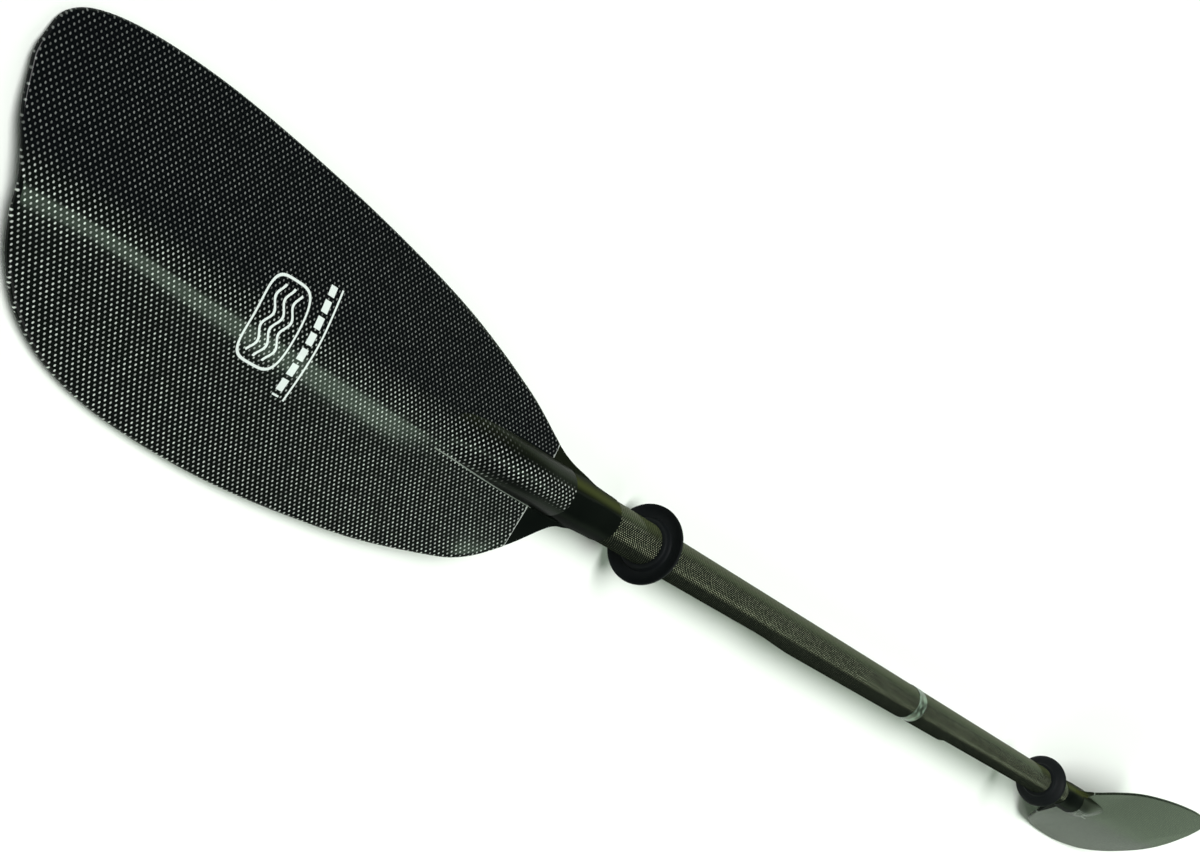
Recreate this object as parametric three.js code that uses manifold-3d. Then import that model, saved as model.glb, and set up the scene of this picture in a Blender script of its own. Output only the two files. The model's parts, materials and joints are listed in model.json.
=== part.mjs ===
// Two-piece touring kayak paddle, in millimetres.
// +X runs along the shaft from the left blade to the right blade, +Z is up, out of the left
// blade's power face, and the origin is on the shaft's centreline at the paddle's mid-length.
// The right half is built with its blade parallel to the left one and then turned by the feather
// angle about the shaft.
import * as THREE from 'three';
import { mergeVertices } from 'three/addons/utils/BufferGeometryUtils.js';
import Module from 'manifold-3d';

const wasm = await Module();
wasm.setup();

// Driving dimensions
const LENGTH = 2200;
const HALF = LENGTH / 2;
const RING_X = 494;                 // drip ring centre, from mid-length
const FEATHER = 45;                 // degrees between the blades at rest
const GAP = 0.3;                    // clearance between pieces that are bonded or slide
const SIDES = 28;                   // facets round the shaft

const SHAFT_R = 14.8;
const SHAFT_WALL = 1.4;
const BORE_R = SHAFT_R - SHAFT_WALL;
const SHAFT_END = 642;              // distance from mid-length to the tube's end inside the blade

const SEAM = 34;                    // where the left tube ends
const COLLAR_LENGTH = 20;
const COLLAR_R = 15.2;
const COLLAR_FLAT_Z = 14.5;         // height of the flat that carries the feather scale
const FEMALE_START = SEAM + COLLAR_LENGTH + GAP;
const FEMALE_END = 153;             // where the liner and the right half's index end

const SPIGOT_R = 12.2;
const SPIGOT_WALL = 1.6;
const SPIGOT_ROOT = -62;            // how far the spigot reaches back into the left tube
const SPIGOT_END = 156;
const KEYWAY = { width: 4, depth: 0.8 };
const LINER_R = BORE_R - GAP;

const BUTTON_X = 82;
const BUTTON_R = 2.7;
const BUTTON_HOLE_R = 3.1;
const BUTTON_TOP = 12.0;            // the button's crown, from the shaft's axis, when pressed
const BUTTON_FLANGE = 5.4;          // outer face of its flange when pressed
const BUTTON_FLANGE_R = 4;
const BUTTON_FLANGE_T = 1;
const SPRING_BAR = 0.8;             // thickness of the button's leaf spring
const SPRING_WIDTH = 5;
const FEATHER_STEP = 15;            // degrees between the index holes
const FEATHER_MAX = 60;             // largest feather either way

const PLUG_LENGTH = 19;             // the foam plug in each shaft's blade end
const BULKHEAD_LENGTH = 14;
const CAP_DEPTH = 16;               // how far the spigot's cap reaches into it
const CAP_LIP = 2.4;

const RING_R = 28.4;
const RING_HUB_T = 3.6;             // the drip ring's rubber over the shaft
const INDEX_START = -288;           // the oval grip index runs from here across the joint
const INDEX_RISE = 1.4;
const INDEX_SPREAD = 72;            // degrees it covers either way
const INDEX_EDGE_T = 0.35;
const INDEX_FADE = 40;

// The blade, by distance u from its drip ring outwards and distance w across, the long edge at +w
const THROAT_START = 70;
const BLADE_ROOT = 150;
const TIP = HALF - RING_X;
const RIDGE_FULL = 260;             // where the faces have their whole fall
const SPINE = { start: 132, full: 156, end: 262, radius: 16.6, endWidth: 13, endProud: 0.4 };
const THROAT = { flareStart: 92, neck: 15.8, neckFull: 105, fillet: 9, filletWidth: 14, rowStep: 8.6 };
const THIN = 0.3;                   // least half thickness of a moulded edge
const DIHEDRAL = 0.14;              // fall of the faces away from the centre ridge
const RIDGE_ROUND = 14;             // how softly the ridge turns over
const SPOON = -3;                   // how far the tip leaves the shaft's axis
const BLADE_EDGE_T = 3.0;
const BLADE_RIDGE_T = 6.0;
const SKIN_T = 0.9;
const EDGE_LAND = 0.94;             // past this share of the width the two skins meet

const LONG_EDGE = [[100, 17], [140, 23.2], [200, 43.6], [280, 62.6], [380, 75.8], [480, 83],
  [540, 82.8], [580, 77.6], [600, 67.4], [TIP, 50]];
const SHORT_EDGE = [[100, -17], [120, -22.8], [150, -45.8], [178, -62.4], [210, -71], [280, -81.2],
  [380, -85.6], [460, -81], [510, -71.4], [545, -56.2], [568, -35.8], [580, -17], [585, -4],
  [592, 9], [600, 23], [TIP, 44]];

const LOOKS = {
  carbon: { color: 0x1b1d1c, roughness: 0.32, metalness: 0.1 },
  glossBlack: { color: 0x0c0e0d, roughness: 0.18, metalness: 0.0 },
  foam: { color: 0xd8d2bd, roughness: 0.9, metalness: 0.0 },
  rubber: { color: 0x0b0c10, roughness: 0.7, metalness: 0.0 },
  collar: { color: 0x8fa595, roughness: 0.35, metalness: 0.0 },
  plastic: { color: 0x202422, roughness: 0.5, metalness: 0.0 },
  steel: { color: 0xb8bcc0, roughness: 0.3, metalness: 1.0 },
};

const radians = THREE.MathUtils.degToRad;
const lerp = THREE.MathUtils.lerp;
const smooth = THREE.MathUtils.smoothstep;

// ---- solids ----------------------------------------------------------------------------------

// A BufferGeometry as a manifold solid
function solid(geometry) {
  const bare = geometry.clone();
  bare.deleteAttribute('normal');
  bare.deleteAttribute('uv');
  const merged = mergeVertices(bare, 1e-4);
  const mesh = new wasm.Mesh({
    numProp: 3,
    vertProperties: new Float32Array(merged.attributes.position.array),
    triVerts: new Uint32Array(merged.index.array),
  });
  return new wasm.Manifold(mesh);
}

// A manifold solid as a BufferGeometry
function geometryOf(body) {
  const mesh = body.getMesh();
  const geometry = new THREE.BufferGeometry();
  geometry.setAttribute('position', new THREE.BufferAttribute(mesh.vertProperties, 3));
  geometry.setIndex(new THREE.BufferAttribute(mesh.triVerts, 1));
  geometry.computeVertexNormals();
  return geometry;
}

// A base geometry with the others cut out of it
function cut(base, ...tools) {
  return geometryOf(tools.reduce((body, tool) => body.subtract(solid(tool)), solid(base)));
}

// A solid of revolution about X from [x, radius] points, which run round the section with the
// outside traced towards +X
function turned(profile, sides = SIDES) {
  const points = [...profile, profile[0]].map(([x, r]) => new THREE.Vector2(r, x));
  return new THREE.LatheGeometry(points, sides).rotateZ(-Math.PI / 2);
}

function tube(x0, x1, inner, outer) {
  return turned([[x0, inner], [x0, outer], [x1, outer], [x1, inner]]);
}

// A rod about X: its profile starts and ends on the axis
function rod(profile, sides = SIDES) {
  const points = profile.map(([x, r]) => new THREE.Vector2(r, x));
  return new THREE.LatheGeometry(points, sides).rotateZ(-Math.PI / 2);
}

// A round hole cutter, standing out radially from the shaft's axis at an angle from -Z about X
function radialCutter(x, radius, from, to, degrees) {
  const cutter = new THREE.CylinderGeometry(radius, radius, to - from, 10);
  cutter.rotateX(Math.PI / 2).translate(x, 0, -(from + to) / 2);
  return cutter.rotateX(radians(degrees));
}

// A closed slab over rows of stations: rows[i] lists [x, y, top z, bottom z] across one station.
// Rows run towards -X and stations run towards +Y.
function slab(rows) {
  const columns = rows[0].length;
  const position = [];
  for (const row of rows) {
    for (const [x, y, top, bottom] of row) position.push(x, y, top, x, y, bottom);
  }
  const at = (i, j, under) => 2 * (i * columns + j) + under;
  const index = [];
  const quad = (a, b, c, d) => index.push(a, b, c, a, c, d);
  const last = rows.length - 1;
  const side = columns - 1;
  for (let i = 0; i < last; i += 1) {
    for (let j = 0; j < side; j += 1) {
      quad(at(i, j, 0), at(i, j + 1, 0), at(i + 1, j + 1, 0), at(i + 1, j, 0));
      quad(at(i, j, 1), at(i + 1, j, 1), at(i + 1, j + 1, 1), at(i, j + 1, 1));
    }
    quad(at(i, 0, 0), at(i + 1, 0, 0), at(i + 1, 0, 1), at(i, 0, 1));
    quad(at(i, side, 0), at(i, side, 1), at(i + 1, side, 1), at(i + 1, side, 0));
  }
  for (let j = 0; j < side; j += 1) {
    quad(at(0, j, 0), at(0, j, 1), at(0, j + 1, 1), at(0, j + 1, 0));
    quad(at(last, j, 0), at(last, j + 1, 0), at(last, j + 1, 1), at(last, j, 1));
  }
  const geometry = new THREE.BufferGeometry();
  geometry.setAttribute('position', new THREE.Float32BufferAttribute(position, 3));
  geometry.setIndex(index);
  return geometry;
}

// The same solid on the other half of the paddle, mirrored end for end
function mirrored(geometry) {
  const copy = mergeVertices(geometry.clone());
  copy.scale(-1, 1, 1);
  const index = copy.index.array;
  for (let i = 0; i < index.length; i += 3) [index[i], index[i + 1]] = [index[i + 1], index[i]];
  copy.computeVertexNormals();
  return copy;
}

// ---- blade shape -----------------------------------------------------------------------------

function edgeCurve(points) {
  const curve = new THREE.SplineCurve(points.map(([u, w]) => new THREE.Vector2(u, w)));
  return curve.getPoints(240);
}
const longEdge = edgeCurve(LONG_EDGE);
const shortEdge = edgeCurve(SHORT_EDGE);

// Where an edge stands across the blade, at distance u from the drip ring
function edgeAt(samples, u) {
  const k = Math.max(1, samples.findIndex((p) => p.x >= u));
  const [a, b] = [samples[k - 1], samples[k]];
  return lerp(a.y, b.y, (u - a.x) / (b.x - a.x));
}

const ridgeFall = (w) => Math.hypot(w, RIDGE_ROUND) - RIDGE_ROUND;

// Height of the blade's middle surface
function middle(u, w) {
  const out = (u - THROAT_START) / (TIP - THROAT_START);
  return SPOON * out * out - DIHEDRAL * smooth(u, THROAT_START, RIDGE_FULL) * ridgeFall(w);
}

// Half the blade's thickness, thickest at the ridge
function halfThickness(share) {
  return lerp(BLADE_RIDGE_T, BLADE_EDGE_T, Math.min(1, Math.abs(share) * 1.3)) / 2;
}

// Stations across the blade between its edges, with the ridge at share 0
function stations(u, shares, inset = 0) {
  const low = edgeAt(shortEdge, u) + inset;
  const high = edgeAt(longEdge, u) - inset;
  const ridge = Math.max(0, lerp(low, high, 0.3));
  return shares.map((share) => ({
    share,
    w: share < 0 ? lerp(ridge, low, -share) : lerp(ridge, high, share),
  }));
}

const BLADE_ROWS = [150, 175, 205, 245, 290, 350, 410, 465, 510, 545, 568, 581, 592, 600, TIP - 0.5];
const SKIN_SHARES = [-1, -EDGE_LAND, -0.9, -0.5, -0.2, 0, 0.2, 0.5, 0.9, EDGE_LAND, 1];
const CORE_SHARES = [-0.88, -0.5, -0.2, 0, 0.2, 0.5, 0.88];

// A layer of the blade; layer gives [top, bottom] heights from the middle surface
function bladeLayer(rowsAt, shares, layer) {
  const rows = rowsAt.map((u, i) => {
    const land = i === 0 || i >= rowsAt.length - 2;
    return stations(u, shares).map(({ share, w }) => {
      const [top, bottom] = layer(share, land);
      return [-(RING_X + u), w, middle(u, w) + top, middle(u, w) + bottom];
    });
  });
  return slab(rows);
}

function faceSkin() {
  return bladeLayer(BLADE_ROWS, SKIN_SHARES, (share, land) => {
    const t = halfThickness(share);
    const atEdge = land || Math.abs(share) >= EDGE_LAND;
    return [t, atEdge ? GAP / 2 : t - SKIN_T];
  });
}

function backSkin() {
  return bladeLayer(BLADE_ROWS, SKIN_SHARES, (share, land) => {
    const t = halfThickness(share);
    const atEdge = land || Math.abs(share) >= EDGE_LAND;
    return [atEdge ? -GAP / 2 : SKIN_T - t, -t];
  });
}

function foamCore() {
  const rows = BLADE_ROWS.slice(2, -3);
  return bladeLayer(rows, CORE_SHARES, (share) => {
    const t = halfThickness(share) - SKIN_T - GAP;
    return [t, -t];
  });
}

// The spine: the round shaft end carried on into the blade, sinking into its faces
function spine(grow = 0) {
  const shares = [];
  for (let k = -6; k <= 6; k += 1) shares.push(Math.sin((k / 6) * Math.PI / 2));
  const { start, full, end, radius } = SPINE;
  const rowsAt = [start - grow];
  for (let u = full; u < end; u += 18) rowsAt.push(u);
  rowsAt.push(end + grow);
  const rows = rowsAt.map((u) => {
    const sink = smooth(u, full, end);
    const across = lerp(radius, SPINE.endWidth, sink * sink) + grow;
    const proud = lerp(radius, BLADE_RIDGE_T / 2 + SPINE.endProud, sink) + grow;
    return shares.map((share) => {
      const w = across * share;
      const rise = Math.max(THIN, proud * Math.sqrt(Math.max(0, 1 - share * share)));
      const base = middle(u, 0) * sink;
      return [-(RING_X + u), w, base + rise, base - rise];
    });
  });
  return slab(rows);
}

// The throat: a moulded fairing that flares from the round shaft to the blade's full root
function throat() {
  const shares = [-1, -0.85, -0.65, -0.45, -0.3, -0.15, 0, 0.2, 0.45, 0.65, 0.85, 1];
  const rows = [];
  for (let u = THROAT_START; u < BLADE_ROOT; u += THROAT.rowStep) {
    const spread = smooth(u, THROAT.flareStart, BLADE_ROOT);
    const neck = lerp(THROAT.neck, SPINE.radius - GAP, smooth(u, THROAT_START, THROAT.neckFull));
    const low = -Math.max(neck, u < 100 ? 0 : -edgeAt(shortEdge, u));
    const high = Math.max(neck, u < 100 ? 0 : edgeAt(longEdge, u));
    rows.push(shares.map((share) => {
      const w = share < 0 ? -share * low : share * high;
      const round = Math.sqrt(Math.max(0, neck * neck - w * w));
      const fillet = THROAT.fillet * (1 - spread) * spread * Math.exp(-Math.abs(w) / THROAT.filletWidth);
      const rise = Math.hypot(round, lerp(THIN, BLADE_EDGE_T / 2, spread) + fillet);
      return [-(RING_X + u), w, middle(u, w) * spread + rise, middle(u, w) * spread - rise];
    }));
  }
  return slab(rows);
}

// ---- left half -------------------------------------------------------------------------------

const shaftClearance = (x0, x1) => rod([[x0, 0], [x0, SHAFT_R + GAP], [x1, SHAFT_R + GAP], [x1, 0]]);

// The foam plug just inside a shaft's blade end
function shaftPlug() {
  const [x0, x1] = [1 - SHAFT_END, 1 - SHAFT_END + PLUG_LENGTH];
  return rod([[x0, 0], [x0, BORE_R - GAP], [x1, BORE_R - GAP], [x1, 0]], 20);
}

// One blade's pieces, built for the left end: name to geometry and finish
function bladePieces() {
  const cutter = spine(GAP);
  const shaftHole = shaftClearance(-SHAFT_END - GAP, -RING_X);
  return {
    blade_face: [cut(faceSkin(), cutter), 'carbon'],
    blade_back: [cut(backSkin(), cutter), 'carbon'],
    blade_core: [cut(foamCore(), cutter), 'foam'],
    spine: [cut(spine(), shaftHole), 'carbon'],
    throat: [cut(throat(), cutter, shaftHole), 'glossBlack'],
    shaft_plug: [shaftPlug(), 'foam'],
  };
}

// A rubber drip ring: a hub on the shaft and a cupped flange that leans towards the blade
function dripRing() {
  const bore = SHAFT_R + GAP;
  const hub = bore + RING_HUB_T;
  return turned([
    [-9, bore], [-9, hub - 1.2], [-8, hub - 0.4], [-4.5, hub], [-3.5, hub + 2.4],
    [-6, RING_R - 1.4], [-4.6, RING_R], [-2.6, RING_R - 0.3], [-1, RING_R - 2],
    [1.5, hub + 2.4], [3, hub + 0.2], [6, hub - 0.6], [7, hub - 1.6], [7, bore],
  ], 32);
}

// A crescent along the shaft's -Y side, from rows of [x, rise of its crown] that run towards -X
function crescent(rows, bed) {
  const spread = radians(INDEX_SPREAD);
  const edge = SHAFT_R + GAP + INDEX_EDGE_T;
  const geometry = slab(rows.map(([x, rise]) => {
    const row = [];
    for (let k = -7; k <= 7; k += 1) {
      const crown = Math.cos((k / 7) * Math.PI / 2) ** 2;
      row.push([x, (k / 7) * spread, edge + rise * crown, bed]);
    }
    return row;
  }));
  const place = geometry.attributes.position;
  for (let i = 0; i < place.count; i += 1) {
    const [angle, radius] = [place.getY(i), place.getZ(i)];
    place.setXYZ(i, place.getX(i), radius * Math.sin(angle), radius * Math.cos(angle));
  }
  return geometry.rotateX(Math.PI / 2);
}

// The oval grip index on the left shaft, fading out at its far end
function gripIndex() {
  const xs = [0, 0.2, 0.6, 0.8, 0.86, 0.91, 0.96, 1].map((share) => lerp(SEAM - 1, INDEX_START, share));
  const rows = xs.map((x) => [x, INDEX_RISE * smooth(x, INDEX_START, INDEX_START + INDEX_FADE)]);
  return crescent(rows, SHAFT_R + GAP);
}

function keywayCutter(x0, x1, clearance) {
  const depth = KEYWAY.depth + clearance;
  const box = new THREE.BoxGeometry(x1 - x0, KEYWAY.width + 2 * clearance, 2 * depth);
  return box.translate((x0 + x1) / 2, 0, SPIGOT_R);
}

function spigot() {
  const root = BORE_R - GAP;
  const inner = SPIGOT_R - SPIGOT_WALL;
  const body = turned([[SPIGOT_ROOT, inner], [SPIGOT_ROOT, root], [SEAM - 1, root], [SEAM - 1, SPIGOT_R],
    [SPIGOT_END, SPIGOT_R], [SPIGOT_END, inner]]);
  const buttonHole = radialCutter(BUTTON_X, BUTTON_HOLE_R, inner - 2, SPIGOT_R + 2, 0);
  return cut(body, keywayCutter(SEAM - 0.5, SPIGOT_END + 2, GAP), buttonHole);
}

function spigotCap() {
  const inner = SPIGOT_R - SPIGOT_WALL - GAP;
  const rim = SPIGOT_R - SPIGOT_WALL;
  const x = SPIGOT_END + GAP;
  return rod([[x - CAP_DEPTH, 0], [x - CAP_DEPTH, inner], [x, inner], [x, rim],
    [x + CAP_LIP - 0.8, rim], [x + CAP_LIP, rim - 1], [x + CAP_LIP, 0]], 20);
}

function bulkhead(x) {
  const r = BORE_R - GAP;
  const end = x + BULKHEAD_LENGTH;
  return rod([[x, 0], [x, r], [end, r], [end, 0]], 20);
}

// The button's leaf spring: a bent strip that bears on the far wall of the spigot
function buttonSpring() {
  const bar = SPRING_BAR;
  const far = SPIGOT_R - SPIGOT_WALL - 2 * GAP;
  const near = -(BUTTON_FLANGE - BUTTON_FLANGE_T - GAP - bar);
  const route = [[BUTTON_X + 5, near], [BUTTON_X - 5, near], [BUTTON_X - 24, far - 5],
    [BUTTON_X - 27, far - 1.2], [BUTTON_X - 22, far - bar], [BUTTON_X + 8, far - bar]];
  const outline = new THREE.Shape();
  const back = [];
  route.forEach(([x, z], i) => {
    const [ax, az] = route[Math.max(0, i - 1)];
    const [bx, bz] = route[Math.min(route.length - 1, i + 1)];
    const length = Math.hypot(bx - ax, bz - az);
    const [nx, nz] = [(-(bz - az) / length) * bar, ((bx - ax) / length) * bar];
    if (i === 0) outline.moveTo(x, z);
    else outline.lineTo(x, z);
    back.unshift([x + nx, z + nz]);
  });
  for (const [x, z] of back) outline.lineTo(x, z);
  const strip = new THREE.ExtrudeGeometry(outline, { depth: SPRING_WIDTH, bevelEnabled: false });
  return strip.translate(0, 0, -SPRING_WIDTH / 2).rotateX(Math.PI / 2);
}

// The snap button, stored pressed, its crown towards -Z
function snapButton() {
  const under = BUTTON_FLANGE - BUTTON_FLANGE_T;
  const points = [[0, under], [BUTTON_FLANGE_R, under], [BUTTON_FLANGE_R, BUTTON_FLANGE],
    [BUTTON_R, BUTTON_FLANGE], [BUTTON_R, BUTTON_TOP - 1], [BUTTON_R * 0.75, BUTTON_TOP - 0.3],
    [0, BUTTON_TOP]];
  const turnedUp = new THREE.LatheGeometry(points.map(([r, z]) => new THREE.Vector2(r, z)), 16);
  return turnedUp.rotateX(-Math.PI / 2).translate(BUTTON_X, 0, 0);
}

// ---- the joint -------------------------------------------------------------------------------

// The index collar: keyed to the spigot, with the oval index on its -Y side and a flat on top
function indexCollar() {
  const [x0, x1] = [SEAM + GAP, SEAM + COLLAR_LENGTH];
  const inner = SPIGOT_R + GAP;
  const ring = turned([[x0, inner], [x0, COLLAR_R - 0.5], [x0 + 0.5, COLLAR_R], [x1 - 0.5, COLLAR_R],
    [x1, COLLAR_R - 0.5], [x1, inner]], 48);
  const oval = crescent([[x1, INDEX_RISE], [x0, INDEX_RISE]], COLLAR_R - 1);
  const above = new THREE.BoxGeometry(COLLAR_LENGTH + 2, 40, 10);
  above.translate((x0 + x1) / 2, 0, COLLAR_FLAT_Z + 5);
  const key = new THREE.BoxGeometry(x1 - x0, KEYWAY.width - GAP, KEYWAY.depth + 1);
  key.translate((x0 + x1) / 2, 0, SPIGOT_R - KEYWAY.depth / 2 + GAP + 0.2);
  return geometryOf(solid(ring).add(solid(oval)).subtract(solid(above)).add(solid(key)));
}

// The index holes, one for each feather setting, as cutters between two radii
function indexHoles(from, to) {
  const holes = [];
  for (let feather = -FEATHER_MAX; feather <= FEATHER_MAX; feather += FEATHER_STEP) {
    holes.push(radialCutter(BUTTON_X, BUTTON_HOLE_R, from, to, -feather));
  }
  return holes;
}

function femaleTube(x0, x1, inner, outer) {
  return cut(tube(x0, x1, inner, outer), ...indexHoles(inner - 1, outer + 1));
}

// The right half's stretch of the oval index, on the -Y side at rest, ending in a step
function jointIndex() {
  const rows = [[FEMALE_END, INDEX_RISE * 0.7], [FEMALE_END - 0.7, INDEX_RISE], [FEMALE_START, INDEX_RISE]];
  const pad = crescent(rows, SHAFT_R + GAP).rotateX(-radians(FEATHER));
  return cut(pad, ...indexHoles(SHAFT_R - 1, SHAFT_R + 4));
}

// ---- assembly --------------------------------------------------------------------------------

function place(group, name, geometry, look) {
  const mesh = new THREE.Mesh(geometry, new THREE.MeshStandardMaterial({ name: look, ...LOOKS[look] }));
  mesh.name = name;
  group.add(mesh);
  return mesh;
}

const paddle = new THREE.Group();
const rightHalf = new THREE.Group();
rightHalf.rotation.x = radians(FEATHER);
paddle.add(rightHalf);

for (const [piece, [geometry, look]] of Object.entries(bladePieces())) {
  place(paddle, `left_${piece}`, geometry, look);
  place(rightHalf, `right_${piece}`, mirrored(geometry), look);
}

place(paddle, 'left_shaft', tube(-SHAFT_END, SEAM, BORE_R, SHAFT_R), 'carbon');
place(paddle, 'left_bulkhead', bulkhead(SPIGOT_ROOT - 16), 'foam');
place(paddle, 'grip_index', gripIndex(), 'carbon');
place(paddle, 'spigot', spigot(), 'plastic');
place(paddle, 'spigot_cap', spigotCap(), 'plastic');
place(paddle, 'button_spring', buttonSpring(), 'steel');
place(paddle, 'snap_button', snapButton(), 'steel');
place(paddle, 'index_collar', indexCollar(), 'collar');
place(paddle, 'left_drip_ring', dripRing(), 'rubber').position.x = -RING_X;

place(rightHalf, 'right_shaft', femaleTube(FEMALE_START, SHAFT_END, BORE_R, SHAFT_R), 'carbon');
place(rightHalf, 'ferrule_liner', femaleTube(FEMALE_START, FEMALE_END, SPIGOT_R + GAP, LINER_R), 'plastic');
place(rightHalf, 'joint_index', jointIndex(), 'carbon');
place(rightHalf, 'right_bulkhead', bulkhead(SPIGOT_END + 20), 'foam');
place(rightHalf, 'right_drip_ring', mirrored(dripRing()), 'rubber').position.x = RING_X;

export default paddle;
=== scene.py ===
"""The kayak paddle's looks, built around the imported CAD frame. Everything is in metres in the CAD's
frame: +X along the shaft from the left blade to the right blade, +Z out of the left blade's face."""
import json
import math

import bmesh
import bpy
import numpy as np
from mathutils import Matrix, Vector

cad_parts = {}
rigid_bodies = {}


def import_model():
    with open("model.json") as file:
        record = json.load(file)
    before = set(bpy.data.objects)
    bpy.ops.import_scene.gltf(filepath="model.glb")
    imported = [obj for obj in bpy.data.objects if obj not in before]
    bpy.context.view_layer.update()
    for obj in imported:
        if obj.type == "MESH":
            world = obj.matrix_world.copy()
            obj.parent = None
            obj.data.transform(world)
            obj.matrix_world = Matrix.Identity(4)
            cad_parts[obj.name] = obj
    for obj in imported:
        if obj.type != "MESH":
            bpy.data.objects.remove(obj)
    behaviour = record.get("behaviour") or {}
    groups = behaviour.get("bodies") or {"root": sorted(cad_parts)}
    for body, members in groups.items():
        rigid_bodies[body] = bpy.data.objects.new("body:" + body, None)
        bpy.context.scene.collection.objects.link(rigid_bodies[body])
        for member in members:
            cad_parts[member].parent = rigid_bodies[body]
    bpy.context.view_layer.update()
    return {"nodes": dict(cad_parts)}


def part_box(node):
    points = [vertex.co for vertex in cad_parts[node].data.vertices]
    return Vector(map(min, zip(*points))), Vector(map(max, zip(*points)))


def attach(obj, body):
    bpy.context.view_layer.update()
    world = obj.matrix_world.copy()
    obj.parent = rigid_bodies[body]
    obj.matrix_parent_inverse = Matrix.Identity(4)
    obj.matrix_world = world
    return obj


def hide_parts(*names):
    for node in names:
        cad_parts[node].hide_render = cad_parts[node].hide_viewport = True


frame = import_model()
MM = 0.001

# ---- sizes, from the frame -------------------------------------------------------------------


def box_x(node):
    low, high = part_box(node)
    return low[0], high[0]


SHAFT_R = (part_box("left_shaft")[1][2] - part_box("left_shaft")[0][2]) / 2
SHAFT_WALL = 1.4 * MM
BORE_R = SHAFT_R - SHAFT_WALL
RING_X = -(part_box("left_drip_ring")[1][0] - 7 * MM)
RING_R = 28.4 * MM
LEFT_SHAFT = box_x("left_shaft")
RIGHT_SHAFT = box_x("right_shaft")
JOINT_INDEX = box_x("joint_index")
GRIP = box_x("grip_index")
SPINE_END = -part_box("left_spine")[0][0] - RING_X
FEATHER = math.radians(45)
BUTTON_X = sum(box_x("snap_button")) / 2
BUTTON_HOLE_R = 3.1 * MM
FEATHER_MAX = 60  # degrees either way
FEATHER_STEP = 15

# ---- the blade's shape -----------------------------------------------------------------------
# u runs out from the drip ring along the blade and w across it, the long edge at +w

THROAT_START = 70 * MM
BLADE_ROOT = 150 * MM
TIP = 606 * MM
DIHEDRAL = 0.14
RIDGE_ROUND = 14 * MM
SPOON = -3 * MM
EDGE_T = 3.0 * MM
RIDGE_T = 6.0 * MM
SKIN_T = 0.9 * MM
SPINE_START = 132 * MM
SPINE_FULL = 156 * MM  # the spine sinks into the blade from here to SPINE_END
SPINE_R = 16.6 * MM
SPINE_END_R = 14.2 * MM
INDEX_RISE = 1.95 * MM
INDEX_SPREAD = math.radians(72)
STRETCH = 0.28  # per metre: how much closer the tows lie towards the tip

LONG_EDGE = [(100, 17), (140, 23.2), (200, 43.6), (280, 62.6), (380, 75.8), (480, 83),
             (540, 82.8), (580, 77.6), (600, 67.4), (606, 50)]
SHORT_EDGE = [(100, -17), (120, -22.8), (150, -45.8), (178, -62.4), (210, -71), (280, -81.2),
              (380, -85.6), (460, -81), (510, -71.4), (545, -56.2), (568, -35.8), (580, -17), (585, -4),
              (592, 9), (600, 23), (606, 44)]


def spline(points, steps=24):
    """A Catmull-Rom curve through the points, as an array of samples."""
    points = np.array(points, float)
    padded = np.vstack([2 * points[0] - points[1], points, 2 * points[-1] - points[-2]])
    samples = []
    for a, b, c, d in zip(padded, padded[1:], padded[2:], padded[3:]):
        for t in np.arange(steps) / steps:
            samples.append(0.5 * (2 * b + (c - a) * t + (2 * a - 5 * b + 4 * c - d) * t ** 2
                                  + (3 * b - a - 3 * c + d) * t ** 3))
    samples.append(points[-1])
    return np.array(samples)


def smoothstep(value, low, high):
    t = np.clip((value - low) / (high - low), 0, 1)
    return t * t * (3 - 2 * t)


def mix(a, b, t):
    return a + (b - a) * t


OUTLINE = np.vstack([spline(LONG_EDGE), spline(SHORT_EDGE)[::-1]]) * MM


def edge_at(points, u):
    samples = spline(points) * MM
    return np.interp(u, samples[:, 0], samples[:, 1])


def blade_middle(u, w):
    """Height of the blade's middle surface."""
    out = (u - THROAT_START) / (TIP - THROAT_START)
    fall = np.hypot(w, RIDGE_ROUND) - RIDGE_ROUND
    return SPOON * out ** 2 - DIHEDRAL * smoothstep(u, THROAT_START, 260 * MM) * fall


def cloth_place(u, w):
    """Where a point of the blade lies on its cloth, which is stretched and slightly skewed by the ridge."""
    along = u + STRETCH * (u - 350 * MM) ** 2
    skew = 0.045 * w - 0.09 * (np.hypot(w, RIDGE_ROUND) - RIDGE_ROUND)
    return -(RING_X + along + skew), w


def distance_to_outline(u, w):
    """How far points of the blade are from its outline, the root left out."""
    a, b = OUTLINE[:-1], OUTLINE[1:]
    ab = b - a
    points = np.stack([u.ravel(), w.ravel()], -1)
    best = np.full(len(points), 1e9)
    for start, along in zip(a, ab):
        share = np.clip(((points - start) @ along) / max(along @ along, 1e-12), 0, 1)
        gap = np.linalg.norm(points - start - share[:, None] * along, axis=1)
        best = np.minimum(best, gap)
    return best.reshape(u.shape)


def half_thickness(u, w):
    """Half the blade's thickness: full at the ridge and rounded off at the edge."""
    gap = distance_to_outline(u, w)
    full = mix(EDGE_T, RIDGE_T, smoothstep(gap, 0, 75 * MM)) / 2
    nose = np.clip(1 - gap / (1.6 * MM), 0, 1)
    return full * np.sqrt(1 - nose ** 2) + 0.08 * MM


# ---- meshes ----------------------------------------------------------------------------------


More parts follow.
